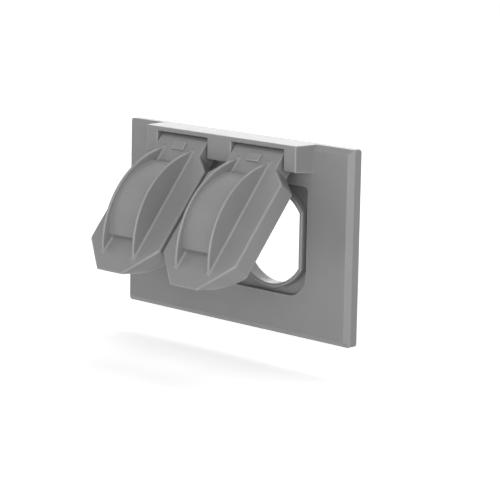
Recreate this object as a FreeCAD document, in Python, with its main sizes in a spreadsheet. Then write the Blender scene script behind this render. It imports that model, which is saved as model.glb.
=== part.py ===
import FreeCAD, Part
import os
import re
import Sketcher

# Weatherproof flip cover for a horizontal duplex socket outlet.
# A cast plate with a hood along its top edge carries two lids on one long
# hinge pin. Frame: +X along the plate's width, +Z up, the front faces -Y,
# and the origin is the plate's centre on its back plane. Millimetres.

doc = FreeCAD.newDocument("flip_cover")

# Two lengths nearer than this count as equal when an edge is looked for
CLOSE = 0.01

# Driving sizes: name, millimetres or degrees, meaning. The outlet's opening leads
# across the plate, and the hinge's height leads down the lids and up the hood.
SIZES = [
    ("face_radius", 17.45, "radius of an outlet opening"),
    ("flat_cut", 3.2, "how far a flat cuts into the opening's circle"),
    ("lid_over", 4.35, "a lid's face beyond the opening's flat"),
    ("skirt_over", 4.65, "a lid's skirt beyond the opening's flat"),
    ("lid_gap", 1.1, "gap between the two lids"),
    ("plate_width", 115.9, "overall width of the plate"),
    ("plate_height", 71.4, "overall height of the plate"),
    ("plate_thick", 5.1, "back rim to front face"),
    ("plate_corner", 1.2, "radius of the plate's four corners"),
    ("bevel_width", 1.9, "how far the bevel reaches inwards"),
    ("bevel_depth", 1.65, "how far the bevel falls back"),
    ("front_wall", 2.0, "thickness of the front wall"),
    ("rim_wall", 2.6, "thickness of the side walls"),
    ("collar_wall", 1.45, "wall of the collar round an opening"),
    ("collar_proud", 0.7, "collar above the front face"),
    ("collar_bevel", 0.45, "chamfer on a collar's two lips"),
    ("recess_side", 3.5, "opening's flat to the field's side"),
    ("recess_above", 2.75, "top of an opening to the field's top edge"),
    ("recess_below", 3.15, "foot of an opening to the field's bottom edge"),
    ("recess_depth", 3.0, "depth of the field"),
    ("recess_low_radius", 8.5, "radius of the field's bottom corners"),
    ("recess_high_radius", 1.8, "radius of the field's top corners"),
    ("field_wall", 1.6, "thickness of the field's floor"),
    ("barrel_radius", 3.57, "outer radius of a lid's hinge barrel"),
    ("barrel_gap", 0.83, "barrel to the plate's front face"),
    ("barrel_top_gap", 0.38, "barrel to the roof of its bay"),
    ("lintel", 1.75, "thickness of the roof over a bay"),
    ("hinge_height", 30.0, "centre to the hinge axis"),
    ("shoulder_step", 6.2, "how much a lid narrows from its face to its neck"),
    ("neck_length", 6.4, "hinge axis to the lid's shoulder"),
    ("shoulder_end", 12.1, "hinge axis to the end of the shoulder"),
    ("bay_gap", 0.9, "side clearance of a lid's neck in its bay"),
    ("hood_cheek", 5.95, "width of the hood beyond its outer bay"),
    ("hood_draft", 0.8, "how much the hood widens to its foot"),
    ("hood_below", 3.8, "hinge axis to the hood's lower edge"),
    ("hood_front", 4.0, "hinge axis to the hood's front"),
    ("hood_lip_radius", 0.5, "rounding of the hood's front edges"),
    ("pin_radius", 1.5, "radius of the hinge pin"),
    ("pin_fit", 0.02, "radial clearance of the pin in the plate"),
    ("pin_run", 0.06, "radial clearance of the pin in a lid"),
    ("pin_cap", 2.6, "metal left beyond the pin's blind end"),
    ("pin_bevel", 0.3, "chamfer on the pin's ends"),
    ("open_angle", 39.3, "how far the lids stand open"),
    ("side_up", 0.45, "foot of an opening to the end of a lid's side"),
    ("lid_toe", 11.65, "foot of an opening to the lid's toe"),
    ("toe_half", 6.7, "half width of the toe"),
    ("toe_radius", 1.6, "rounding of the lid's lower corners"),
    ("shoulder_radius", 1.2, "rounding of the lid's shoulders"),
    ("skirt_depth", 7.1, "depth of the lid's skirt"),
    ("heel_half", 8.0, "half width of the skirt's middle arc"),
    ("heel_up", 1.3, "opening's centre to the centre of the heel arc"),
    ("heel_room", 9.05, "heel arc beyond the opening's radius"),
    ("lid_skin", 2.0, "thickness of a lid's face"),
    ("lid_wall", 1.6, "thickness of a lid's skirt"),
    ("lid_edge_bevel", 0.55, "chamfer on a lid's front edge"),
    ("rib_start", 4.4, "hinge axis to the upper end of a rib"),
    ("rib_short", 6.8, "lower tip of a rib to the lid's toe"),
    ("rib_height", 9.8, "rise of a rib above the lid's face"),
    ("rib_thick", 1.1, "thickness of a rib"),
    ("rib_half_gap", 7.5, "lid's centre line to a rib at the hinge"),
    ("rib_splay", 0.8, "angle by which a rib turns outwards"),
    ("rib_edge_bevel", 0.35, "chamfer on a rib's crest"),
    ("rib_foot", 0.6, "width and height of the sloped foot round a rib"),
    ("foot_tuck", 0.25, "how far the foot's slope runs on inside the rib"),
    ("panel_start", 12.0, "hinge axis to the panel's upper edge"),
    ("panel_short", 14.1, "panel's lower edge to the lid's toe"),
    ("panel_lean", 0.2, "panel's highest line above its middle"),
    ("panel_peak", 8.4, "rise of the panel above the lid's face"),
    ("panel_foot", 2.1, "rise of the panel's lower edge"),
    ("panel_edge_radius", 0.6, "rounding of the panel's two ends"),
    ("root_depth", 1.0, "how deep ribs and panel root in the face"),
    ("stop_width", 6.0, "width of the stop pad on the neck"),
    ("stop_start", 1.9, "hinge axis to the stop pad"),
    ("stop_length", 3.3, "length of the stop pad"),
    ("stop_height", 0.75, "height of the stop pad"),
    ("seal_gap", 0.1, "seal to collar with the lid shut"),
    ("seal_over", 1.2, "how far a seal reaches past the collar"),
    ("foam_gap", 0.25, "clearance of the wall seal in the plate"),
    ("screw_radius", 1.75, "radius of the cover screw's thread"),
    ("screw_neck", 1.4, "radius of the neck inside the plate"),
    ("screw_gap", 0.35, "radial clearance of the screw's hole"),
    ("screw_reach", 11.0, "thread beyond the back plane"),
    ("screw_tip", 0.6, "chamfer on the thread's end"),
    ("head_radius", 3.4, "radius of the screw's head"),
    ("head_cone", 1.5, "depth of the head's countersunk cone"),
    ("head_dome", 0.8, "height of the head's dome"),
    ("head_gap", 0.05, "head to countersink"),
    ("slot_width", 1.1, "width of the screw's slot"),
    ("slot_depth", 1.2, "depth of the screw's slot"),
    ("boss_radius", 4.6, "radius of the boss behind the screw"),
]

# Sizes that follow from the driving ones, each with its meaning first
FOLLOWS = {
    # half distance between an opening's flats
    "face_half": "face_radius - flat_cut",
    # half width of a lid's face
    "lid_half": "face_half + lid_over",
    # half width at the skirt's back edge
    "skirt_half": "face_half + skirt_over",
    # distance between the two outlet centres
    "outlet_pitch": "2 * skirt_half + lid_gap",
    # half width of the sunk field
    "recess_half": "outlet_pitch / 2 + face_half + recess_side",
    # centre to the field's top edge
    "recess_top": "face_radius + recess_above",
    # centre to the field's bottom edge
    "recess_bottom": "face_radius + recess_below",
    # back plane to the hinge axis
    "hinge_front": "plate_thick + barrel_radius + barrel_gap",
    # half width of a lid's neck
    "neck_half": "lid_half - shoulder_step",
    # width of a lid bay in the hood
    "bay_width": "2 * (neck_half + bay_gap)",
    # half width of the hood at its front
    "hood_half": "outlet_pitch / 2 + bay_width / 2 + hood_cheek",
    # centre to the hood's lower edge at its front
    "hood_bottom": "hinge_height - hood_below",
    # back plane to the hood's front
    "hood_depth": "hinge_front + hood_front",
    # hinge axis to the end of a lid's side
    "side_end": "hinge_height + face_radius - side_up",
    # hinge axis to the lid's toe
    "lid_length": "hinge_height + face_radius + lid_toe",
    # hinge axis to the centre of the heel arc
    "heel_centre": "hinge_height - heel_up",
    # radius of the skirt's heel arc
    "heel_radius": "face_radius + heel_room",
    # hinge axis to the lower tip of a rib
    "rib_end": "lid_length - rib_short",
    # hinge axis to the panel's lower edge
    "panel_end": "lid_length - panel_short",
    # hinge axis to the panel's highest line
    "panel_middle": "(panel_start + panel_end) / 2 - panel_lean",
    # bow of the panel over its lower half
    "panel_bow": "panel_peak - panel_foot",
    # radius of the panel's bow
    "panel_radius": "((panel_end - panel_middle)^2 + panel_bow^2) / (2 * panel_bow)",
    # centre to the hood's top
    "hood_top": "hinge_height + barrel_radius + barrel_top_gap + lintel",
}

sheet = doc.addObject("Spreadsheet::Sheet", "Sizes")
for row, (word, number, meaning) in enumerate(SIZES, start=1):
    sheet.set(f"A{row}", word)
    sheet.set(f"B{row}", str(number))
    sheet.set(f"C{row}", meaning)
    sheet.setAlias(f"B{row}", word)
doc.recompute()

NAMES = [*FOLLOWS, *(word for word, number, meaning in SIZES)]
WORDS = re.compile(r"\b(" + "|".join(NAMES) + r")\b")


def formula(text):
    """Write a formula of size names as the document's own expression."""

    def spelled(found):
        """Give a driving size by its cell and any other by its own formula."""
        word = found.group(1)
        return f"({formula(FOLLOWS[word])})" if word in FOLLOWS else f"Sizes.{word}"

    return WORDS.sub(spelled, text)


def amount(text):
    """Work out a formula of size names now."""
    found = sheet.evalExpression(formula(text))
    return float(getattr(found, "Value", found))


def bind(item, field, text):
    """Tie one property of an object to the sheet."""
    item.setExpression(field, formula(text))


def new_body(label):
    """Start a body whose label names its file."""
    made = doc.addObject("PartDesign::Body", label)
    made.Label = label
    return made


def origin_plane(owner, role):
    """Find one of a body's own origin planes."""
    return [item for item in owner.Origin.OriginFeatures if item.Role == role][0]


def new_sketch(owner, name, plane, lift="0", turn="0"):
    """Start a sketch on an origin plane, lifted along its normal and turned about its own X."""
    made = owner.newObject("Sketcher::SketchObject", name)
    made.AttachmentSupport = [(origin_plane(owner, plane), "")]
    made.MapMode = "FlatFace"
    bind(made, "AttachmentOffset", f"placement(vector(0; 0; {lift}); vector(1; 0; 0); {turn})")
    return made


def hold(sketch, kind, element, point, text):
    """Hold one coordinate of a sketch point by a formula."""
    number = sketch.addConstraint(
        Sketcher.Constraint(kind, -1, 1, element, point, amount(text)))
    bind(sketch, f"Constraints[{number}]", text)


def hold_radius(sketch, element, text):
    """Hold the radius of an arc or circle by a formula."""
    number = sketch.addConstraint(Sketcher.Constraint("Radius", element, amount(text)))
    bind(sketch, f"Constraints[{number}]", text)


def circle(sketch, x, y, radius):
    """Draw a circle held by formulas."""
    centre = FreeCAD.Vector(amount(x), amount(y), 0)
    element = sketch.addGeometry(
        Part.Circle(centre, FreeCAD.Vector(0, 0, 1), amount(radius)))
    hold(sketch, "DistanceX", element, 3, x)
    hold(sketch, "DistanceY", element, 3, y)
    hold_radius(sketch, element, radius)


def wire(sketch, nodes, arcs=None):
    """Draw a closed wire through nodes (x, y), with some edges bent into arcs.

    arcs maps an edge number to (centre x, centre y, radius), and an arc that
    carries on from an equal one shares its centre. A node with a third entry
    slides on its arc and is held by that coordinate alone.
    """
    arcs = arcs or {}
    spots = [FreeCAD.Vector(amount(node[0]), amount(node[1]), 0) for node in nodes]
    count = len(nodes)
    ends = []
    for index in range(count):
        first = spots[index]
        last = spots[(index + 1) % count]
        if index not in arcs:
            element = sketch.addGeometry(Part.LineSegment(first, last))
            ends.append((element, 1, 2))
            continue
        centre_x, centre_y, radius = arcs[index]
        centre = FreeCAD.Vector(amount(centre_x), amount(centre_y), 0)
        outwards = ((first + last) * 0.5 - centre).normalize()
        element = sketch.addGeometry(
            Part.Arc(first, centre + outwards * amount(radius), last))
        leftwards = (first - centre).cross(last - centre).z > 0
        ends.append((element, 1, 2) if leftwards else (element, 2, 1))
    for index in range(count):
        element, start, finish = ends[index]
        following, next_start, next_finish = ends[(index + 1) % count]
        sketch.addConstraint(
            Sketcher.Constraint("Coincident", element, finish, following, next_start))
    for index, node in enumerate(nodes):
        element, start, finish = ends[index]
        only = node[2] if len(node) == 3 else ""
        if only in ("", "x"):
            hold(sketch, "DistanceX", element, start, node[0])
        if only in ("", "y"):
            hold(sketch, "DistanceY", element, start, node[1])
    for index, (centre_x, centre_y, radius) in arcs.items():
        element = ends[index][0]
        if arcs.get(index - 1) == arcs[index]:
            earlier = ends[index - 1][0]
            sketch.addConstraint(Sketcher.Constraint("Coincident", element, 3, earlier, 3))
            continue
        hold_radius(sketch, element, radius)
        if len(nodes[index]) == 3:
            hold(sketch, "DistanceX", element, 3, centre_x)
            hold(sketch, "DistanceY", element, 3, centre_y)


def mirrored(right_side):
    """Close a right-hand run of nodes with its mirror image about the Y axis."""
    left_side = [(f"-({node[0]})",) + tuple(node[1:]) for node in reversed(right_side)]
    return right_side + left_side


def box_wire(sketch, left, right, low, high, low_radius, high_radius):
    """Draw a rectangle with one radius below and another above."""
    nodes = [
        (f"({left}) + ({low_radius})", low),
        (f"({right}) - ({low_radius})", low),
        (right, f"({low}) + ({low_radius})"),
        (right, f"({high}) - ({high_radius})"),
        (f"({right}) - ({high_radius})", high),
        (f"({left}) + ({high_radius})", high),
        (left, f"({high}) - ({high_radius})"),
        (left, f"({low}) + ({low_radius})"),
    ]
    arcs = {
        1: (f"({right}) - ({low_radius})", f"({low}) + ({low_radius})", low_radius),
        3: (f"({right}) - ({high_radius})", f"({high}) - ({high_radius})", high_radius),
        5: (f"({left}) + ({high_radius})", f"({high}) - ({high_radius})", high_radius),
        7: (f"({left}) + ({low_radius})", f"({low}) + ({low_radius})", low_radius),
    }
    wire(sketch, nodes, arcs)


def outlet_wire(sketch, middle, extra, height="0"):
    """Draw an outlet's outline, a circle between two upright flats, grown by extra."""
    radius = f"(face_radius + {extra})"
    half = f"(face_half + {extra})"
    rise = f"sqrt({radius}^2 - {half}^2)"
    nodes = [
        (f"{middle} + {half}", f"{height} - {rise}", "x"),
        (f"{middle} + {half}", f"{height} + {rise}", "x"),
        (f"{middle} - {half}", f"{height} + {rise}", "x"),
        (f"{middle} - {half}", f"{height} - {rise}", "x"),
    ]
    arcs = {1: (middle, height, radius), 3: (middle, height, radius)}
    wire(sketch, nodes, arcs)


def extrude(owner, name, kind, sketch, length="", back=False, centred=False, through=False):
    """Pad or pocket a sketch."""
    made = owner.newObject(f"PartDesign::{kind}", name)
    made.Profile = sketch
    if through:
        made.Type = "ThroughAll"
    else:
        bind(made, "Length", length)
    made.Reversed = back
    made.Midplane = centred
    doc.recompute()
    return made


def loft(owner, name, kind, first, second):
    """Run a straight-sided loft between two sketches."""
    made = owner.newObject(f"PartDesign::{kind}", name)
    made.Profile = first
    made.Sections = [second]
    made.Ruled = True
    doc.recompute()
    return made


def edge_names(feature, wanted):
    """Name the edges of a feature that a test accepts."""
    return [f"Edge{number}" for number, edge in enumerate(feature.Shape.Edges, start=1)
            if wanted(edge)]


def round_edges(owner, name, base, wanted, radius):
    """Fillet the edges of the body's last feature that a test accepts."""
    names = edge_names(base, wanted)
    made = owner.newObject("PartDesign::Fillet", name)
    made.Base = (base, names)
    bind(made, "Radius", radius)
    doc.recompute()
    return made


def bevel_edges(owner, name, base, wanted, size):
    """Chamfer the edges of the body's last feature that a test accepts."""
    made = owner.newObject("PartDesign::Chamfer", name)
    made.Base = (base, edge_names(base, wanted))
    bind(made, "Size", size)
    doc.recompute()
    return made


def near(first, second, gap=CLOSE):
    """True where two numbers agree within a small gap."""
    return abs(first - second) < gap


def spots_of(edge, count=5):
    """Give points along an edge, its ends included."""
    first, last = edge.ParameterRange
    step = (last - first) / (count - 1)
    return [edge.valueAt(first + step * number) for number in range(count)]


def parts_removed(before, after):
    """Stop where a cut that should remove metal has removed none."""
    if after.Shape.Volume > before.Shape.Volume - CLOSE:
        raise ValueError(f"{after.Name} cut nothing")


# Cover plate: one casting with the sunk field, two collars and the hinge hood
def make_plate():
    body = new_body("cover_plate")
    half_wide = "plate_width / 2"
    half_high = "plate_height / 2"

    slab = new_sketch(body, "plate_outline", "XZ_Plane")
    box_wire(slab, f"-{half_wide}", half_wide, f"-{half_high}", half_high,
             "plate_corner", "plate_corner")
    extrude(body, "plate_slab", "Pad", slab, "plate_thick - bevel_depth")

    foot = new_sketch(body, "bevel_foot", "XZ_Plane", "plate_thick - bevel_depth")
    box_wire(foot, f"-{half_wide}", half_wide, f"-{half_high}", half_high,
             "plate_corner", "plate_corner")
    brow = new_sketch(body, "bevel_brow", "XZ_Plane", "plate_thick")
    box_wire(brow, f"-{half_wide} + bevel_width", f"{half_wide} - bevel_width",
             f"-{half_high} + bevel_width", f"{half_high} - bevel_width",
             "plate_corner / 2", "plate_corner / 2")
    loft(body, "plate_bevel", "AdditiveLoft", foot, brow)

    hood_half_low = "(hood_half + hood_draft)"
    hood_low = "(hood_bottom - hood_draft)"
    foot_front = "-(plate_thick - bevel_depth)"
    plan = new_sketch(body, "hood_plan", "XY_Plane", hood_low)
    wire(plan, [(f"-{hood_half_low}", foot_front), ("-hood_half", "-hood_depth"),
                ("hood_half", "-hood_depth"), (hood_half_low, foot_front)])
    block = extrude(body, "hood_block", "Pad", plan, f"hood_top - {hood_low}")

    slope = new_sketch(body, "hood_slope", "YZ_Plane")
    wire(slope, [(foot_front, hood_low), ("-hood_depth", hood_low),
                 ("-hood_depth", "hood_bottom")])
    hood = extrude(body, "hood_slope_cut", "Pocket", slope, f"2 * {hood_half_low}", centred=True)
    parts_removed(block, hood)

    bays = new_sketch(body, "bay_outlines", "XZ_Plane", "hood_depth")
    for side in (-1, 1):
        middle = f"{side} * outlet_pitch / 2"
        wire(bays, [(f"{middle} - bay_width / 2", "hood_bottom - 2 * hood_draft"),
                    (f"{middle} + bay_width / 2", "hood_bottom - 2 * hood_draft"),
                    (f"{middle} + bay_width / 2", "hood_top - lintel"),
                    (f"{middle} - bay_width / 2", "hood_top - lintel")])
    bay_cut = extrude(body, "bay_cut", "Pocket", bays, "hood_depth - plate_thick")
    parts_removed(hood, bay_cut)

    # Turned half round the diagonal, the bore runs left and its seam faces up
    bore_cut = body.newObject("PartDesign::SubtractiveCylinder", "pin_bore_cut")
    bore_cut.AttachmentSupport = [(origin_plane(body, "YZ_Plane"), "")]
    bore_cut.MapMode = "FlatFace"
    bind(bore_cut, "AttachmentOffset",
         "placement(vector(-hinge_front; hinge_height; hood_half - pin_cap); vector(1; 1; 0); 180)")
    bind(bore_cut, "Radius", "pin_radius + pin_fit")
    bind(bore_cut, "Height", "2 * (hood_half + hood_draft)")
    doc.recompute()
    parts_removed(bay_cut, bore_cut)

    field = new_sketch(body, "field_outline", "XZ_Plane", "plate_thick")
    box_wire(field, "-recess_half", "recess_half", "-recess_bottom", "recess_top",
             "recess_low_radius", "recess_high_radius")
    field_cut = extrude(body, "field_cut", "Pocket", field, "recess_depth")
    parts_removed(bore_cut, field_cut)

    collars = new_sketch(body, "collar_outlines", "XZ_Plane")
    for side in (-1, 1):
        outlet_wire(collars, f"{side} * outlet_pitch / 2", "collar_wall")
    collar_pad = extrude(body, "collars", "Pad", collars, "plate_thick + collar_proud")

    shell = new_sketch(body, "shell_outline", "XZ_Plane")
    box_wire(shell, f"-{half_wide} + rim_wall", f"{half_wide} - rim_wall",
             f"-{half_high} + rim_wall", f"{half_high} - rim_wall",
             "plate_corner", "plate_corner")
    box_wire(shell, "-recess_half - field_wall", "recess_half + field_wall",
             "-recess_bottom - field_wall", "recess_top + field_wall",
             "recess_low_radius + field_wall", "recess_high_radius + field_wall")
    shell_cut = extrude(body, "shell_cut", "Pocket", shell, "plate_thick - front_wall", back=True)
    parts_removed(collar_pad, shell_cut)

    under = new_sketch(body, "field_back", "XZ_Plane")
    box_wire(under, "-recess_half", "recess_half", "-recess_bottom", "recess_top",
             "recess_low_radius", "recess_high_radius")
    for side in (-1, 1):
        outlet_wire(under, f"{side} * outlet_pitch / 2", "collar_wall")
    circle(under, "0", "0", "boss_radius")
    under_cut = extrude(body, "field_back_cut", "Pocket", under,
                        "plate_thick - recess_depth - field_wall", back=True)
    parts_removed(shell_cut, under_cut)

    openings = new_sketch(body, "outlet_openings", "XZ_Plane", "plate_thick + collar_proud")
    for side in (-1, 1):
        outlet_wire(openings, f"{side} * outlet_pitch / 2", "0")
    opening_cut = extrude(body, "outlet_cut", "Pocket", openings, through=True)
    parts_removed(under_cut, opening_cut)

    hole = new_sketch(body, "screw_hole", "XZ_Plane", "plate_thick")
    circle(hole, "0", "0", "screw_radius + screw_gap")
    hole_cut = extrude(body, "screw_hole_cut", "Pocket", hole, through=True)
    parts_removed(opening_cut, hole_cut)

    sink = new_sketch(body, "countersink", "YZ_Plane")
    floor = "-(plate_thick - recess_depth)"
    wire(sink, [(floor, "0"), (floor, "head_radius + head_gap"),
                (f"{floor} + head_cone", "screw_neck + head_gap"),
                (f"{floor} + head_cone", "0")])
    sink_cut = body.newObject("PartDesign::Groove", "countersink_cut")
    sink_cut.Profile = sink
    sink_cut.ReferenceAxis = (sink, ["H_Axis"])
    sink_cut.Angle = 360
    doc.recompute()
    parts_removed(hole_cut, sink_cut)

    front = -amount("hood_depth")

    def hood_lip(edge):
        """Front edges of the hood, bays included."""
        return all(near(spot.y, front) for spot in spots_of(edge))

    lips = round_edges(body, "hood_lips", sink_cut, hood_lip, "hood_lip_radius")

    rim_front = -amount("plate_thick + collar_proud")

    def collar_lip(edge):
        """Front edges of the two collars."""
        return all(near(spot.y, rim_front) for spot in spots_of(edge))

    bevel_edges(body, "collar_lips", lips, collar_lip, "collar_bevel")
    return body


# Lid: a hollow cast flap with two bowed ribs and a bowed panel between them
def lid_frame(body, side):
    """Swing a body drawn about the hinge axis out to the standing angle."""
    bind(body, "Placement",
         f"placement(vector({side} * outlet_pitch / 2; -hinge_front; hinge_height); "
         "vector(1; 0; 0); -open_angle)")


def lid_outline(body, name, lift, half, side_low, toe, length):
    """Draw a lid's facetted outline: neck, shoulders, sides, cut corners and toe."""
    made = new_sketch(body, name, "XZ_Plane", lift)
    wire(made, mirrored([("neck_half", "0"), ("neck_half", "-neck_length"),
                         (half, "-shoulder_end"), (half, f"-({side_low})"),
                         (toe, f"-({length})")]))
    return made


def heel_depth(radius, half):
    """Distance down the lid at which the heel arc meets a given half width."""
    return f"(heel_centre + sqrt(({radius})^2 - ({half})^2))"


def rib_plan(body, name, lift, hand, spread):
    """Draw the strip that a rib covers seen from the front, widened all round by spread."""
    made = new_sketch(body, name, "XZ_Plane", lift)
    nodes = []
    for down, across in (("rib_start", -1), ("rib_start", 1), ("rib_end", 1), ("rib_end", -1)):
        reach = f"({down} - {spread})" if down == "rib_start" else f"({down} + {spread})"
        middle = f"{hand} * (rib_half_gap + {reach} * tan(rib_splay))"
        nodes.append((f"{middle} + {across} * (rib_thick / 2 + {spread})", f"-{reach}"))
    wire(made, nodes)
    return made


def make_lid(label, side):
    body = new_body(label)
    lid_frame(body, side)
    face = "barrel_radius"
    back = "(barrel_radius - skirt_depth)"

    front = lid_outline(body, "face_outline", face, "lid_half", "side_end",
                        "toe_half", "lid_length")
    skirt = new_sketch(body, "skirt_outline", "XZ_Plane", back)
    heel = ("0", "-heel_centre", "heel_radius")
    wire(skirt,
         mirrored([("neck_half", "0"), ("neck_half", "-neck_length"),
                   ("skirt_half", "-shoulder_end"),
                   ("skirt_half", "-" + heel_depth("heel_radius", "skirt_half"), "x"),
                   ("heel_half", "-" + heel_depth("heel_radius", "heel_half"), "x")]),
         {3: heel, 4: heel, 5: heel})
    flap = loft(body, "flap", "AdditiveLoft", skirt, front)

    waist = -amount("(shoulder_end + side_end) / 2")
    narrow = amount("neck_half") + CLOSE

    def upright(spots):
        """True for an edge that runs from the skirt's back to the face."""
        return abs(spots[0].y - spots[-1].y) > amount("skirt_depth") / 2

    def side_corner(spots):
        """True for an upright edge at one of the four ends of the lid's sides."""
        return upright(spots) and min(abs(spot.x) for spot in spots) > narrow

    def lower_corner(edge):
        """Slanted edges between the sides and the lid's lower end."""
        spots = spots_of(edge)
        return side_corner(spots) and max(spot.z for spot in spots) < waist

    def shoulder_corner(edge):
        """Slanted edges between the shoulders and the sides."""
        spots = spots_of(edge)
        return side_corner(spots) and min(spot.z for spot in spots) > waist

    flap = round_edges(body, "lower_corners", flap, lower_corner, "toe_radius")
    flap = round_edges(body, "shoulder_corners", flap, shoulder_corner, "shoulder_radius")

    barrel = new_sketch(body, "barrel_outline", "YZ_Plane")
    circle(barrel, "0", "0", "barrel_radius")
    solid = extrude(body, "barrel", "Pad", barrel, "2 * neck_half", centred=True)

    # The cavity is narrower at the face by the draft of the skirt
    share = "(lid_skin / skirt_depth)"
    half_in = f"(lid_half + (skirt_half - lid_half) * {share} - lid_wall)"
    end_in = ("(lid_length + (" + heel_depth("heel_radius", "heel_half")
              + f" - lid_length) * {share} - lid_wall)")
    toe_in = f"(toe_half + (heel_half - toe_half) * {share} - lid_wall / 2)"
    neck_in = "(neck_half - lid_wall)"
    start = "(barrel_radius + lid_wall)"
    shoulder_shift = "lid_wall / 2"
    ceiling = new_sketch(body, "cavity_ceiling", "XZ_Plane", "barrel_radius - lid_skin")
    wire(ceiling, mirrored([(neck_in, f"-{start}"),
                            (neck_in, f"-(neck_length + {shoulder_shift})"),
                            (half_in, f"-(shoulder_end + {shoulder_shift})"),
                            (half_in, f"-(side_end - {shoulder_shift})"),
                            (toe_in, f"-{end_in}")]))
    mouth = new_sketch(body, "cavity_mouth", "XZ_Plane", back)
    mouth_half = "(skirt_half - lid_wall)"
    mouth_arc = ("0", "-heel_centre", "heel_radius - lid_wall")
    mouth_toe = "(heel_half - lid_wall / 2)"
    wire(mouth,
         mirrored([(neck_in, f"-{start}"),
                   (neck_in, f"-(neck_length + {shoulder_shift})"),
                   (mouth_half, f"-(shoulder_end + {shoulder_shift})"),
                   (mouth_half, "-" + heel_depth("heel_radius - lid_wall", mouth_half), "x"),
                   (mouth_toe, "-" + heel_depth("heel_radius - lid_wall", mouth_toe), "x")]),
         {3: mouth_arc, 4: mouth_arc, 5: mouth_arc})
    hollow = loft(body, "cavity", "SubtractiveLoft", mouth, ceiling)
    parts_removed(solid, hollow)

    rib_middle = "((rib_start + rib_end) / 2)"
    rib_radius = "(((rib_end - rib_start)^2 / 4 + rib_height^2) / (2 * rib_height))"
    root = f"-({face} - root_depth)"
    for hand, word in ((-1, "left"), (1, "right")):
        profile = new_sketch(body, f"{word}_rib_outline", "YZ_Plane",
                             f"{hand} * rib_half_gap", f"{-hand} * rib_splay")
        wire(profile,
             [(root, "-rib_start"), (f"-{face}", "-rib_start"),
              (f"-{face}", "-rib_end"), (root, "-rib_end")],
             {1: (f"-({face} + rib_height - {rib_radius})", f"-{rib_middle}", rib_radius)})
        extrude(body, f"{word}_rib", "Pad", profile, "rib_thick", centred=True)
        low = rib_plan(body, f"{word}_rib_foot_outline", face, hand, "rib_foot")
        high = rib_plan(body, f"{word}_rib_foot_top", f"{face} + rib_foot + foot_tuck", hand,
                        "(-foot_tuck)")
        loft(body, f"{word}_rib_foot", "AdditiveLoft", low, high)

    bow = ("-(barrel_radius + panel_peak - panel_radius)", "-panel_middle", "panel_radius")
    reach = "(barrel_radius + panel_peak - panel_radius)"
    top_rise = f"-({reach} + sqrt(panel_radius^2 - (panel_middle - panel_start)^2))"
    low_rise = f"-({reach} + sqrt(panel_radius^2 - (panel_end - panel_middle)^2))"
    sections = []
    for hand, word in ((-1, "left"), (1, "right")):
        profile = new_sketch(body, f"{word}_panel_outline", "YZ_Plane",
                             f"{hand} * rib_half_gap", f"{-hand} * rib_splay")
        wire(profile,
             [(root, "-panel_start"), (top_rise, "-panel_start", "y"),
              (low_rise, "-panel_end", "y"), (root, "-panel_end")],
             {1: bow})
        sections.append(profile)
    panel = loft(body, "panel", "AdditiveLoft", sections[0], sections[1])

    inner = "(panel_radius - lid_skin)"
    inner_top = f"-({reach} + sqrt({inner}^2 - (panel_middle - panel_start - lid_skin)^2))"
    inner_low = f"-({reach} + sqrt({inner}^2 - (panel_end - panel_middle - lid_skin)^2))"
    open_side = f"-({face} - lid_skin - root_depth)"
    under = new_sketch(body, "panel_hollow_outline", "YZ_Plane")
    wire(under,
         [(open_side, "-(panel_start + lid_skin)"),
          (inner_top, "-(panel_start + lid_skin)", "y"),
          (inner_low, "-(panel_end - lid_skin)", "y"),
          (open_side, "-(panel_end - lid_skin)")],
         {1: (bow[0], bow[1], inner)})
    thin = extrude(body, "panel_hollow", "Pocket", under,
                   "2 * rib_half_gap - rib_thick", centred=True)
    parts_removed(panel, thin)

    pad = new_sketch(body, "stop_outline", "XZ_Plane", face)
    wire(pad, [("-stop_width / 2", "-stop_start"), ("stop_width / 2", "-stop_start"),
               ("stop_width / 2", "-stop_start - stop_length"),
               ("-stop_width / 2", "-stop_start - stop_length")])
    stop = extrude(body, "stop_pad", "Pad", pad, "stop_height")

    bore = new_sketch(body, "hinge_bore", "YZ_Plane")
    circle(bore, "0", "0", "pin_radius + pin_run")
    bored = extrude(body, "hinge_bore_cut", "Pocket", bore, "2 * neck_half", centred=True)
    parts_removed(stop, bored)

    rise = amount(face)
    lip = amount("panel_edge_radius")

    def crest(edge):
        """The two long arcs along the top of each rib."""
        top = -min(spot.y for spot in spots_of(edge))
        return (edge.Length > amount("rib_end - rib_start")
                and top > rise + amount("rib_height - rib_thick"))

    def panel_lip(edge):
        """The two straight edges across the ends of the panel."""
        spots = spots_of(edge)
        level = near(spots[0].z, spots[-1].z) and near(spots[0].y, spots[-1].y)
        upper = near(spots[0].z, -amount("panel_start"), lip)
        lower = near(spots[0].z, -amount("panel_end"), lip)
        return level and (upper or lower) and -spots[0].y > rise + lip

    def rim(edge):
        """The outer edge of the lid's face, from one shoulder round to the other."""
        spots = spots_of(edge)
        flat = all(near(spot.y, -rise) for spot in spots)
        outside = max(abs(spot.x) for spot in spots) > narrow
        toe = max(spot.z for spot in spots) < -amount("rib_end + rib_foot") - CLOSE
        return flat and (outside or toe)

    last = bevel_edges(body, "rib_crests", bored, crest, "rib_edge_bevel")
    last = round_edges(body, "panel_lips", last, panel_lip, "panel_edge_radius")
    bevel_edges(body, "face_rim", last, rim, "lid_edge_bevel")
    return body


# Lid seal: a foam pad in the lid that shuts on the collar
def make_lid_seal(label, side):
    body = new_body(label)
    lid_frame(body, side)
    outline = new_sketch(body, "seal_outline", "XZ_Plane", "barrel_radius - lid_skin")
    outlet_wire(outline, "0", "collar_wall + seal_over", "-hinge_height")
    extrude(body, "seal_pad", "Pad", outline,
            "barrel_radius - lid_skin + hinge_front - plate_thick - collar_proud - seal_gap",
            back=True)
    return body


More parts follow.
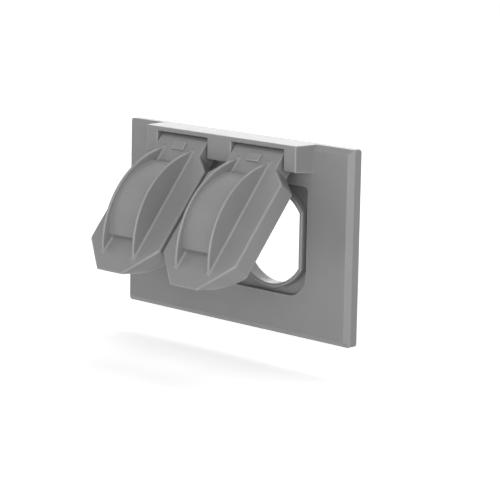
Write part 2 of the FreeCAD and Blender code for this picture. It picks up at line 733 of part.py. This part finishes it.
# Wall seal: a foam frame that fills the plate's hollow back
def make_wall_seal():
    body = new_body("wall_seal")
    outline = new_sketch(body, "foam_outline", "XZ_Plane")
    half_wide = "plate_width / 2 - rim_wall - foam_gap"
    half_high = "plate_height / 2 - rim_wall - foam_gap"
    box_wire(outline, f"-({half_wide})", half_wide, f"-({half_high})", half_high,
             "plate_corner", "plate_corner")
    box_wire(outline, "-recess_half - field_wall - foam_gap", "recess_half + field_wall + foam_gap",
             "-recess_bottom - field_wall - foam_gap", "recess_top + field_wall + foam_gap",
             "recess_low_radius + field_wall", "recess_high_radius + field_wall")
    extrude(body, "foam_frame", "Pad", outline, "plate_thick - front_wall")
    return body


# Hinge pin: one steel pin, driven in from the left and blind on the right
def make_pin():
    body = new_body("hinge_pin")
    outline = new_sketch(body, "pin_outline", "YZ_Plane", "-hood_half")
    circle(outline, "-hinge_front", "hinge_height", "pin_radius")
    made = extrude(body, "pin_shank", "Pad", outline, "2 * hood_half - pin_cap - pin_run")

    def pin_end(edge):
        """Both round ends of the pin."""
        return edge.isClosed()

    bevel_edges(body, "pin_ends", made, pin_end, "pin_bevel")
    return body


# Cover screw: an oval-headed slotted screw through the middle of the plate
def make_screw():
    body = new_body("cover_screw")
    outline = new_sketch(body, "screw_outline", "YZ_Plane")
    floor = "-(plate_thick - recess_depth)"
    dome_radius = "((head_radius^2 + head_dome^2) / (2 * head_dome))"
    wire(outline,
         [(f"{floor} - head_dome", "0"),
          (floor, "head_radius"),
          (f"{floor} + head_cone", "screw_neck"),
          ("0", "screw_neck"),
          ("0", "screw_radius"),
          ("screw_reach - screw_tip", "screw_radius"),
          ("screw_reach", "screw_radius - screw_tip"),
          ("screw_reach", "0")],
         {0: (f"{floor} - head_dome + {dome_radius}", "0", dome_radius)})
    turned = body.newObject("PartDesign::Revolution", "screw_turned")
    turned.Profile = outline
    turned.ReferenceAxis = (outline, ["H_Axis"])
    turned.Angle = 360
    doc.recompute()
    slot = new_sketch(body, "slot_outline", "XZ_Plane", "plate_thick - recess_depth + head_dome")
    wire(slot, [("-head_radius", "-slot_width / 2"), ("head_radius", "-slot_width / 2"),
                ("head_radius", "slot_width / 2"), ("-head_radius", "slot_width / 2")])
    slotted = extrude(body, "slot_cut", "Pocket", slot, "slot_depth")
    parts_removed(turned, slotted)
    return body


pieces = [make_plate(), make_pin(), make_wall_seal(), make_screw()]
for hand_word, hand_side in (("left", -1), ("right", 1)):
    pieces.append(make_lid(f"{hand_word}_lid", hand_side))
    pieces.append(make_lid_seal(f"{hand_word}_lid_seal", hand_side))

doc.recompute()
for thing in doc.Objects:
    if "Invalid" in thing.State or "Error" in thing.State:
        raise ValueError(f"{thing.Name} did not build: {thing.State}")
for piece in pieces:
    if piece.Shape.isNull() or not piece.Shape.isValid() or len(piece.Shape.Solids) != 1:
        raise ValueError(f"{piece.Label} is not one valid solid")

os.makedirs("parts", exist_ok=True)
for piece in pieces:
    piece.Shape.exportStep(f"parts/{piece.Label}.step")
    box = piece.Shape.BoundBox
    print(f"{piece.Label}: {piece.Shape.Volume:.0f} mm3, X {box.XMin:.2f} to {box.XMax:.2f}, "
          f"Y {box.YMin:.2f} to {box.YMax:.2f}, Z {box.ZMin:.2f} to {box.ZMax:.2f}")
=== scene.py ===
import math

import bmesh
import bpy
from mathutils import Matrix, Vector


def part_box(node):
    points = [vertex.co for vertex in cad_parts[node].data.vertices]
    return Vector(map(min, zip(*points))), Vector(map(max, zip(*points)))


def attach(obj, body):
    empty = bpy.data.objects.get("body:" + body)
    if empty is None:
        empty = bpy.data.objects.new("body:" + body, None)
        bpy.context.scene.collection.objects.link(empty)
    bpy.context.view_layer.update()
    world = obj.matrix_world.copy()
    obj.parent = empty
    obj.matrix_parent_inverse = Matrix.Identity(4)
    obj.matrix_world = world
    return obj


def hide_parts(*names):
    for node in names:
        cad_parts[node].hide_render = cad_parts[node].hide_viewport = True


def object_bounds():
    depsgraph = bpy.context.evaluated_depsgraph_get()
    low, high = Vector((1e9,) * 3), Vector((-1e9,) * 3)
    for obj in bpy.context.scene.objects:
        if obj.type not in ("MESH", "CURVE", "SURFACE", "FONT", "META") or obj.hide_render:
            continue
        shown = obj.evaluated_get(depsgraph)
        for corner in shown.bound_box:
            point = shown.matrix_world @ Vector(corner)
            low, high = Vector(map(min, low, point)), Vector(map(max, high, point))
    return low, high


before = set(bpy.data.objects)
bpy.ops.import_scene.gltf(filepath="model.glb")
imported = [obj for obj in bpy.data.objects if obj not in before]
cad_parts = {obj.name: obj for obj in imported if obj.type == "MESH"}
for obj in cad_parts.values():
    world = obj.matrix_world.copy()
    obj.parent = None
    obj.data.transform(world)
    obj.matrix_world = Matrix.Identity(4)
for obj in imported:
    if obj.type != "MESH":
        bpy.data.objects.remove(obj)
cad_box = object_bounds()

# Places and sizes in metres, the same as the part's own
HINGE = Vector((0.0, -0.0095, 0.0300))
OPEN_ANGLE = math.radians(39.3)
OUTLET_MIDDLES = {"left": -0.01945, "right": 0.01945}
HINGE_TO_OUTLET = 0.0300
FACE_RADIUS = 0.01745
FACE_HALF = 0.01425
SEAL_REACH = 0.00265
SEAL_BACK = -0.00360
SEAL_FRONT = 0.00157
WALL_SEAL_OUTER_RADIUS = 0.0012
WALL_SEAL_LOW_RADIUS = 0.0101
WALL_SEAL_HIGH_RADIUS = 0.0034
FIELD_SIDE = 0.03905
FIELD_LOW = -0.02245
FIELD_HIGH = 0.02205

# Cut foam: radius of its edges, and the steps that its curves are drawn in
FOAM_EDGE = 0.0004
FOAM_EDGE_STEPS = 3
FOAM_EDGE_ANGLE = math.radians(50)
ARC_STEPS = 28
CORNER_STEPS = 8

# Finishes: noise scales in waves per metre, greys and roughness as a darkest and
# lightest or smoothest and roughest, and bumps as a strength and a height in metres
RAMP_START = 0.3
RAMP_END = 0.7
COAT_CLOUDS = 90
COAT_GREYS = (0.243, 0.257)
COAT_ROUGHNESS = (0.30, 0.38)
COAT_PEEL = 1400
COAT_PEEL_BUMP = (0.18, 0.00005)
COAT_GRAIN = 5200
COAT_GRAIN_BUMP = (0.2, 0.00002)
COAT_EDGE = 0.00030
COAT_EDGE_SAMPLES = 6
STEEL_MARKS = 2600
STEEL_GREYS = (0.85, 1.1)
STEEL_ROUGHNESS = (0.26, 0.42)
STEEL_BUMP = (0.2, 0.00002)
PIN_GREY = 0.5
SCREW_GREY = 0.55
FOAM_CLOUDS = 300
FOAM_GREYS = (0.022, 0.042)
FOAM_CELLS = 2200
FOAM_ROUGHNESS = (0.78, 0.95)
FOAM_BUMP = (0.6, 0.0001)

# Painted highlight on outer edges and painted shade in corners: how far in they
# reach, their grey and the most of it. The openness where each starts and where it is
# full.
# Painted highlight: a lighter grey mixed into the coat colour along outer edges
PAINTED_EDGE_HIGHLIGHT = (0.0006, 0.40, 1.0)
# Painted shade: a darker grey mixed into the coat colour in inner corners
PAINTED_CORNER_SHADE = (0.0012, 0.13, 0.12)
EDGE_BARE = 0.95
EDGE_FULL = 0.45
EDGE_SAMPLES = 8

# Camera: its angles and distance about the point it looks at, and its lens in mm
CAMERA_AZIMUTH = math.radians(44.303)
CAMERA_ELEVATION = math.radians(10.374)
CAMERA_ROLL = math.radians(1.122)
CAMERA_AIM = Vector((0.003884, 0, -0.008002))
CAMERA_DISTANCE = 0.844739
CAMERA_LENS = 163.54
CAMERA_SENSOR = 36
CAMERA_NEAR = 0.01
CAMERA_FAR = 20

# Lamps: place, width and height in metres, and power in watts. All look at the
# origin. The strongest stand in front, behind above, and to the right.
LAMPS = {
    "back_light": ((0.02, 0.35, 0.75), 0.9, 0.5, 2.95),
    "top_light": ((0.05, -0.45, 0.70), 0.8, 0.4, 1.4),
    "rim_light": ((-0.70, 0.75, 0.35), 0.5, 0.3, 1.4),
    "side_light": ((0.95, -0.25, 0.25), 0.5, 0.6, 2.8),
    "front_light": ((0.20, -1.00, 0.10), 0.6, 0.5, 4.05),
    "key_light": ((0.72, -0.74, 0.22), 0.6, 0.6, 2.35),
    "left_light": ((-0.90, -0.35, 0.30), 0.5, 0.5, 0.75),
    "low_light": ((0.30, -0.75, -0.03), 0.7, 0.04, 0.3),
}

# Floor: its half width and depth below the object, its colour, and how strongly it
# glows to the camera near the object, growing to white between two distances
FLOOR_REACH = 4.0
FLOOR_DROP = 0.012
FLOOR_GREY = 0.8
FLOOR_GLOW = 0.62
FLOOR_FADE_START = 0.15
FLOOR_FADE_END = 0.60


def grey(value):
    """An even grey."""
    return (value, value, value, 1.0)


def material(name):
    """Start a node material and return it with its nodes, links and main shader."""
    made = bpy.data.materials.new(name)
    made.use_nodes = True
    nodes = made.node_tree.nodes
    return made, nodes, made.node_tree.links, nodes["Principled BSDF"]


def noise(nodes, links, scale, detail, along=None):
    """Noise fixed to the object, stretched along an axis where that is given."""
    place = nodes.new("ShaderNodeTexCoord").outputs["Object"]
    if along:
        stretch = nodes.new("ShaderNodeMapping")
        stretch.inputs["Scale"].default_value = along
        links.new(place, stretch.inputs["Vector"])
        place = stretch.outputs["Vector"]
    made = nodes.new("ShaderNodeTexNoise")
    made.inputs["Scale"].default_value = scale
    made.inputs["Detail"].default_value = detail
    links.new(place, made.inputs["Vector"])
    return made.outputs["Fac"]


def ramp(nodes, links, source, low, high):
    """Turn a factor into a run between two greys."""
    made = nodes.new("ShaderNodeValToRGB")
    start, end = made.color_ramp.elements
    start.position, start.color = RAMP_START, grey(low)
    end.position, end.color = RAMP_END, grey(high)
    links.new(source, made.inputs["Fac"])
    return made.outputs["Color"]


def bump(nodes, links, source, strength, height, below=None):
    """Raise a surface by a factor, on top of an earlier bump."""
    made = nodes.new("ShaderNodeBump")
    made.inputs["Strength"].default_value = strength
    made.inputs["Distance"].default_value = height
    links.new(source, made.inputs["Height"])
    if below:
        links.new(below, made.inputs["Normal"])
    return made.outputs["Normal"]


def near_edge(nodes, links, inside, under, reach, value, most):
    """Mix a grey in where other faces are near: painted highlight on outer edges if
    inside, else painted shade in corners.
    """
    near = nodes.new("ShaderNodeAmbientOcclusion")
    near.inside = inside
    near.only_local = True
    near.samples = EDGE_SAMPLES
    near.inputs["Distance"].default_value = reach
    share = nodes.new("ShaderNodeMapRange")
    share.inputs["From Min"].default_value = EDGE_BARE
    share.inputs["From Max"].default_value = EDGE_FULL
    share.inputs["To Min"].default_value = 0.0
    share.inputs["To Max"].default_value = most
    links.new(near.outputs["AO"], share.inputs["Value"])
    blend = nodes.new("ShaderNodeMix")
    blend.data_type = "RGBA"
    links.new(share.outputs["Result"], blend.inputs["Factor"])
    links.new(under, blend.inputs["A"])
    blend.inputs["B"].default_value = grey(value)
    return blend.outputs["Result"]


def powder_coat():
    """Satin grey powder coat: fine orange peel, faint clouding and softened edges, with
    painted highlight on outer edges and painted shade in corners.
    """
    made, nodes, links, shader = material("powder_coat")
    tint = ramp(nodes, links, noise(nodes, links, COAT_CLOUDS, 3), *COAT_GREYS)
    # Painted highlight: a lighter grey along outer edges
    painted_highlight = near_edge(nodes, links, True, tint, *PAINTED_EDGE_HIGHLIGHT)
    # Painted shade: a darker grey in inner corners
    painted_shade = near_edge(nodes, links, False, painted_highlight, *PAINTED_CORNER_SHADE)
    links.new(painted_shade, shader.inputs["Base Color"])
    peel = noise(nodes, links, COAT_PEEL, 2)
    grain = noise(nodes, links, COAT_GRAIN, 2)
    links.new(ramp(nodes, links, peel, *COAT_ROUGHNESS), shader.inputs["Roughness"])
    edges = nodes.new("ShaderNodeBevel")
    edges.samples = COAT_EDGE_SAMPLES
    edges.inputs["Radius"].default_value = COAT_EDGE
    soft = bump(nodes, links, peel, *COAT_PEEL_BUMP, edges.outputs["Normal"])
    links.new(bump(nodes, links, grain, *COAT_GRAIN_BUMP, soft), shader.inputs["Normal"])
    return made


def drawn_steel(name, value, along):
    """Bare or plated steel with fine marks drawn along one axis."""
    made, nodes, links, shader = material(name)
    marks = noise(nodes, links, STEEL_MARKS, 3, along)
    tint = ramp(nodes, links, marks, *(value * share for share in STEEL_GREYS))
    links.new(tint, shader.inputs["Base Color"])
    links.new(ramp(nodes, links, marks, *STEEL_ROUGHNESS), shader.inputs["Roughness"])
    links.new(bump(nodes, links, marks, *STEEL_BUMP), shader.inputs["Normal"])
    shader.inputs["Metallic"].default_value = 1.0
    return made


def foam():
    """Black closed-cell foam: small cells, a dull skin and faint clouding."""
    made, nodes, links, shader = material("closed_cell_foam")
    place = nodes.new("ShaderNodeTexCoord")
    cells = nodes.new("ShaderNodeTexVoronoi")
    cells.inputs["Scale"].default_value = FOAM_CELLS
    links.new(place.outputs["Object"], cells.inputs["Vector"])
    cell = cells.outputs["Distance"]
    tint = ramp(nodes, links, noise(nodes, links, FOAM_CLOUDS, 4), *FOAM_GREYS)
    links.new(tint, shader.inputs["Base Color"])
    links.new(ramp(nodes, links, cell, *FOAM_ROUGHNESS), shader.inputs["Roughness"])
    links.new(bump(nodes, links, cell, *FOAM_BUMP), shader.inputs["Normal"])
    return made


def dress(node, finish):
    """Give a CAD node its finish."""
    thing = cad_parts[node]
    thing.data.materials.clear()
    thing.data.materials.append(finish)


def outlet_points(reach):
    """Points round an outlet's outline grown by reach, about its own centre."""
    radius = FACE_RADIUS + reach
    turn = math.acos((FACE_HALF + reach) / radius)
    points = []
    for start in (turn, math.pi + turn):
        for step in range(ARC_STEPS + 1):
            angle = start + (math.pi - 2 * turn) * step / ARC_STEPS
            points.append((radius * math.cos(angle), radius * math.sin(angle)))
    return points


def rounded_box_points(left, right, low, high, low_radius, high_radius):
    """Points round a rectangle with one corner radius below and another above."""
    corners = ((right, high, high_radius, 1, 1), (left, high, high_radius, -1, 1),
               (left, low, low_radius, -1, -1), (right, low, low_radius, 1, -1))
    points = []
    for quarter, (x, z, radius, across, upwards) in enumerate(corners):
        for step in range(CORNER_STEPS + 1):
            angle = (quarter + step / CORNER_STEPS) * math.pi / 2
            points.append((x - across * radius + radius * math.cos(angle),
                           z - upwards * radius + radius * math.sin(angle)))
    return points


def foam_piece(name, rings, front, back, finish):
    """Cut foam between two depths: one outline, or an outline with a hole."""
    mesh = bpy.data.meshes.new(name)
    made = bpy.data.objects.new(name, mesh)
    bpy.context.scene.collection.objects.link(made)
    build = bmesh.new()
    sides = []
    for depth in (front, back):
        edges = []
        for ring in rings:
            spots = [build.verts.new((x, depth, z)) for x, z in ring]
            edges += [build.edges.new((spots[number - 1], spots[number]))
                      for number in range(len(spots))]
        bmesh.ops.triangle_fill(build, edges=edges, use_beauty=True)
        sides.append(edges)
    for first, second in zip(*sides):
        build.faces.new((*first.verts, *reversed(second.verts)))
    bmesh.ops.recalc_face_normals(build, faces=build.faces[:])
    build.to_mesh(mesh)
    build.free()
    soft = made.modifiers.new("cut_edge", "BEVEL")
    soft.width = FOAM_EDGE
    soft.segments = FOAM_EDGE_STEPS
    soft.limit_method = "ANGLE"
    soft.angle_limit = FOAM_EDGE_ANGLE
    made.data.materials.append(finish)
    return made


def add_camera():
    """Set up the camera at the photograph's angle."""
    across, height = math.cos(CAMERA_ELEVATION), math.sin(CAMERA_ELEVATION)
    back = Vector((math.sin(CAMERA_AZIMUTH) * across,
                   -math.cos(CAMERA_AZIMUTH) * across, height))
    level = Vector((math.cos(CAMERA_AZIMUTH), math.sin(CAMERA_AZIMUTH), 0))
    upright = back.cross(level)
    right = level * math.cos(CAMERA_ROLL) + upright * math.sin(CAMERA_ROLL)
    up = upright * math.cos(CAMERA_ROLL) - level * math.sin(CAMERA_ROLL)
    spot = CAMERA_AIM + back * CAMERA_DISTANCE
    optics = bpy.data.cameras.new("camera")
    optics.lens = CAMERA_LENS
    optics.sensor_width = CAMERA_SENSOR
    optics.clip_start, optics.clip_end = CAMERA_NEAR, CAMERA_FAR
    camera = bpy.data.objects.new("camera", optics)
    bpy.context.scene.collection.objects.link(camera)
    camera.matrix_world = Matrix((
        (right.x, up.x, back.x, spot.x),
        (right.y, up.y, back.y, spot.y),
        (right.z, up.z, back.z, spot.z),
        (0, 0, 0, 1)))
    bpy.context.scene.camera = camera


def add_lamp(name, place, width, height, power):
    """Add a rectangular soft light that looks at the origin."""
    made = bpy.data.lights.new(name, "AREA")
    made.shape = "RECTANGLE"
    made.size, made.size_y, made.energy = width, height, power
    holder = bpy.data.objects.new(name, made)
    bpy.context.scene.collection.objects.link(holder)
    holder.location = place
    holder.rotation_euler = (-Vector(place)).to_track_quat("-Z", "Y").to_euler()


def seen_directly(nodes, links):
    """One for rays from the camera or in gloss, nought for light that scatters."""
    rays = nodes.new("ShaderNodeLightPath")
    either = nodes.new("ShaderNodeMath")
    either.operation = "MAXIMUM"
    links.new(rays.outputs["Is Camera Ray"], either.inputs[0])
    links.new(rays.outputs["Is Glossy Ray"], either.inputs[1])
    return either.outputs[0]


def pale_floor():
    """Matt floor that takes the shadow, glows to the camera, and is clear from beneath."""
    made, nodes, links, shader = material("pale_floor")
    nodes.remove(shader)
    matt = nodes.new("ShaderNodeBsdfDiffuse")
    matt.inputs["Color"].default_value = grey(FLOOR_GREY)
    place = nodes.new("ShaderNodeTexCoord")
    distance = nodes.new("ShaderNodeVectorMath")
    distance.operation = "LENGTH"
    links.new(place.outputs["Object"], distance.inputs[0])
    fade = nodes.new("ShaderNodeMapRange")
    fade.inputs["From Min"].default_value = FLOOR_FADE_START
    fade.inputs["From Max"].default_value = FLOOR_FADE_END
    fade.inputs["To Min"].default_value = FLOOR_GLOW
    fade.inputs["To Max"].default_value = 1.0
    links.new(distance.outputs["Value"], fade.inputs["Value"])
    share = nodes.new("ShaderNodeMath")
    share.operation = "MULTIPLY"
    links.new(seen_directly(nodes, links), share.inputs[0])
    links.new(fade.outputs["Result"], share.inputs[1])
    glow = nodes.new("ShaderNodeEmission")
    links.new(share.outputs[0], glow.inputs["Strength"])
    both = nodes.new("ShaderNodeAddShader")
    links.new(matt.outputs[0], both.inputs[0])
    links.new(glow.outputs[0], both.inputs[1])
    beneath = nodes.new("ShaderNodeNewGeometry")
    clear = nodes.new("ShaderNodeBsdfTransparent")
    one_sided = nodes.new("ShaderNodeMixShader")
    links.new(beneath.outputs["Backfacing"], one_sided.inputs["Fac"])
    links.new(both.outputs[0], one_sided.inputs[1])
    links.new(clear.outputs[0], one_sided.inputs[2])
    links.new(one_sided.outputs[0], nodes["Material Output"].inputs["Surface"])
    return made


def add_floor():
    """Lay a level floor below the object."""
    level = cad_box[0].z - FLOOR_DROP
    corners = [(x * FLOOR_REACH, y * FLOOR_REACH, level)
               for x, y in ((-1, -1), (1, -1), (1, 1), (-1, 1))]
    mesh = bpy.data.meshes.new("floor")
    mesh.from_pydata(corners, [], [(0, 1, 2, 3)])
    mesh.materials.append(pale_floor())
    made = bpy.data.objects.new("floor", mesh)
    bpy.context.scene.collection.objects.link(made)
    return made


def add_world():
    """White to the camera and in reflections, and no light on the object from it."""
    world = bpy.data.worlds.new("studio")
    bpy.context.scene.world = world
    world.use_nodes = True
    nodes, links = world.node_tree.nodes, world.node_tree.links
    nodes["Background"].inputs["Color"].default_value = grey(1)
    links.new(seen_directly(nodes, links), nodes["Background"].inputs["Strength"])


coat = powder_coat()
black_foam = foam()
for casting in ("cover_plate", "left_lid", "right_lid"):
    dress(casting, coat)
dress("hinge_pin", drawn_steel("drawn_steel", PIN_GREY, (0.02, 1, 1)))
dress("cover_screw", drawn_steel("plated_steel", SCREW_GREY, (1, 0.15, 1)))

# Lid seals, drawn about the hinge axis and swung out with the lids
for side, middle in OUTLET_MIDDLES.items():
    ring = [(x, z - HINGE_TO_OUTLET) for x, z in outlet_points(SEAL_REACH)]
    pad = foam_piece(f"{side}_seal_foam", [ring], -SEAL_FRONT, -SEAL_BACK, black_foam)
    swing = Matrix.Rotation(-OPEN_ANGLE, 4, "X")
    pad.matrix_world = Matrix.Translation(HINGE + Vector((middle, 0, 0))) @ swing
    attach(pad, f"{side}_flap")
    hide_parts(f"{side}_lid_seal")

# Wall seal, a frame of foam in the plate's back
wall_low, wall_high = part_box("wall_seal")
outer = rounded_box_points(wall_low.x, wall_high.x, wall_low.z, wall_high.z,
                           WALL_SEAL_OUTER_RADIUS, WALL_SEAL_OUTER_RADIUS)
inner = rounded_box_points(-FIELD_SIDE, FIELD_SIDE, FIELD_LOW, FIELD_HIGH,
                           WALL_SEAL_LOW_RADIUS, WALL_SEAL_HIGH_RADIUS)
frame_foam = foam_piece("wall_seal_foam", [outer, inner], wall_low.y, wall_high.y,
                        black_foam)
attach(frame_foam, "plate")
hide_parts("wall_seal")

add_camera()
for name, (place, width, height, power) in LAMPS.items():
    add_lamp(name, place, width, height, power)
floor = add_floor()
add_world()
bpy.context.scene.view_settings.view_transform = "Standard"
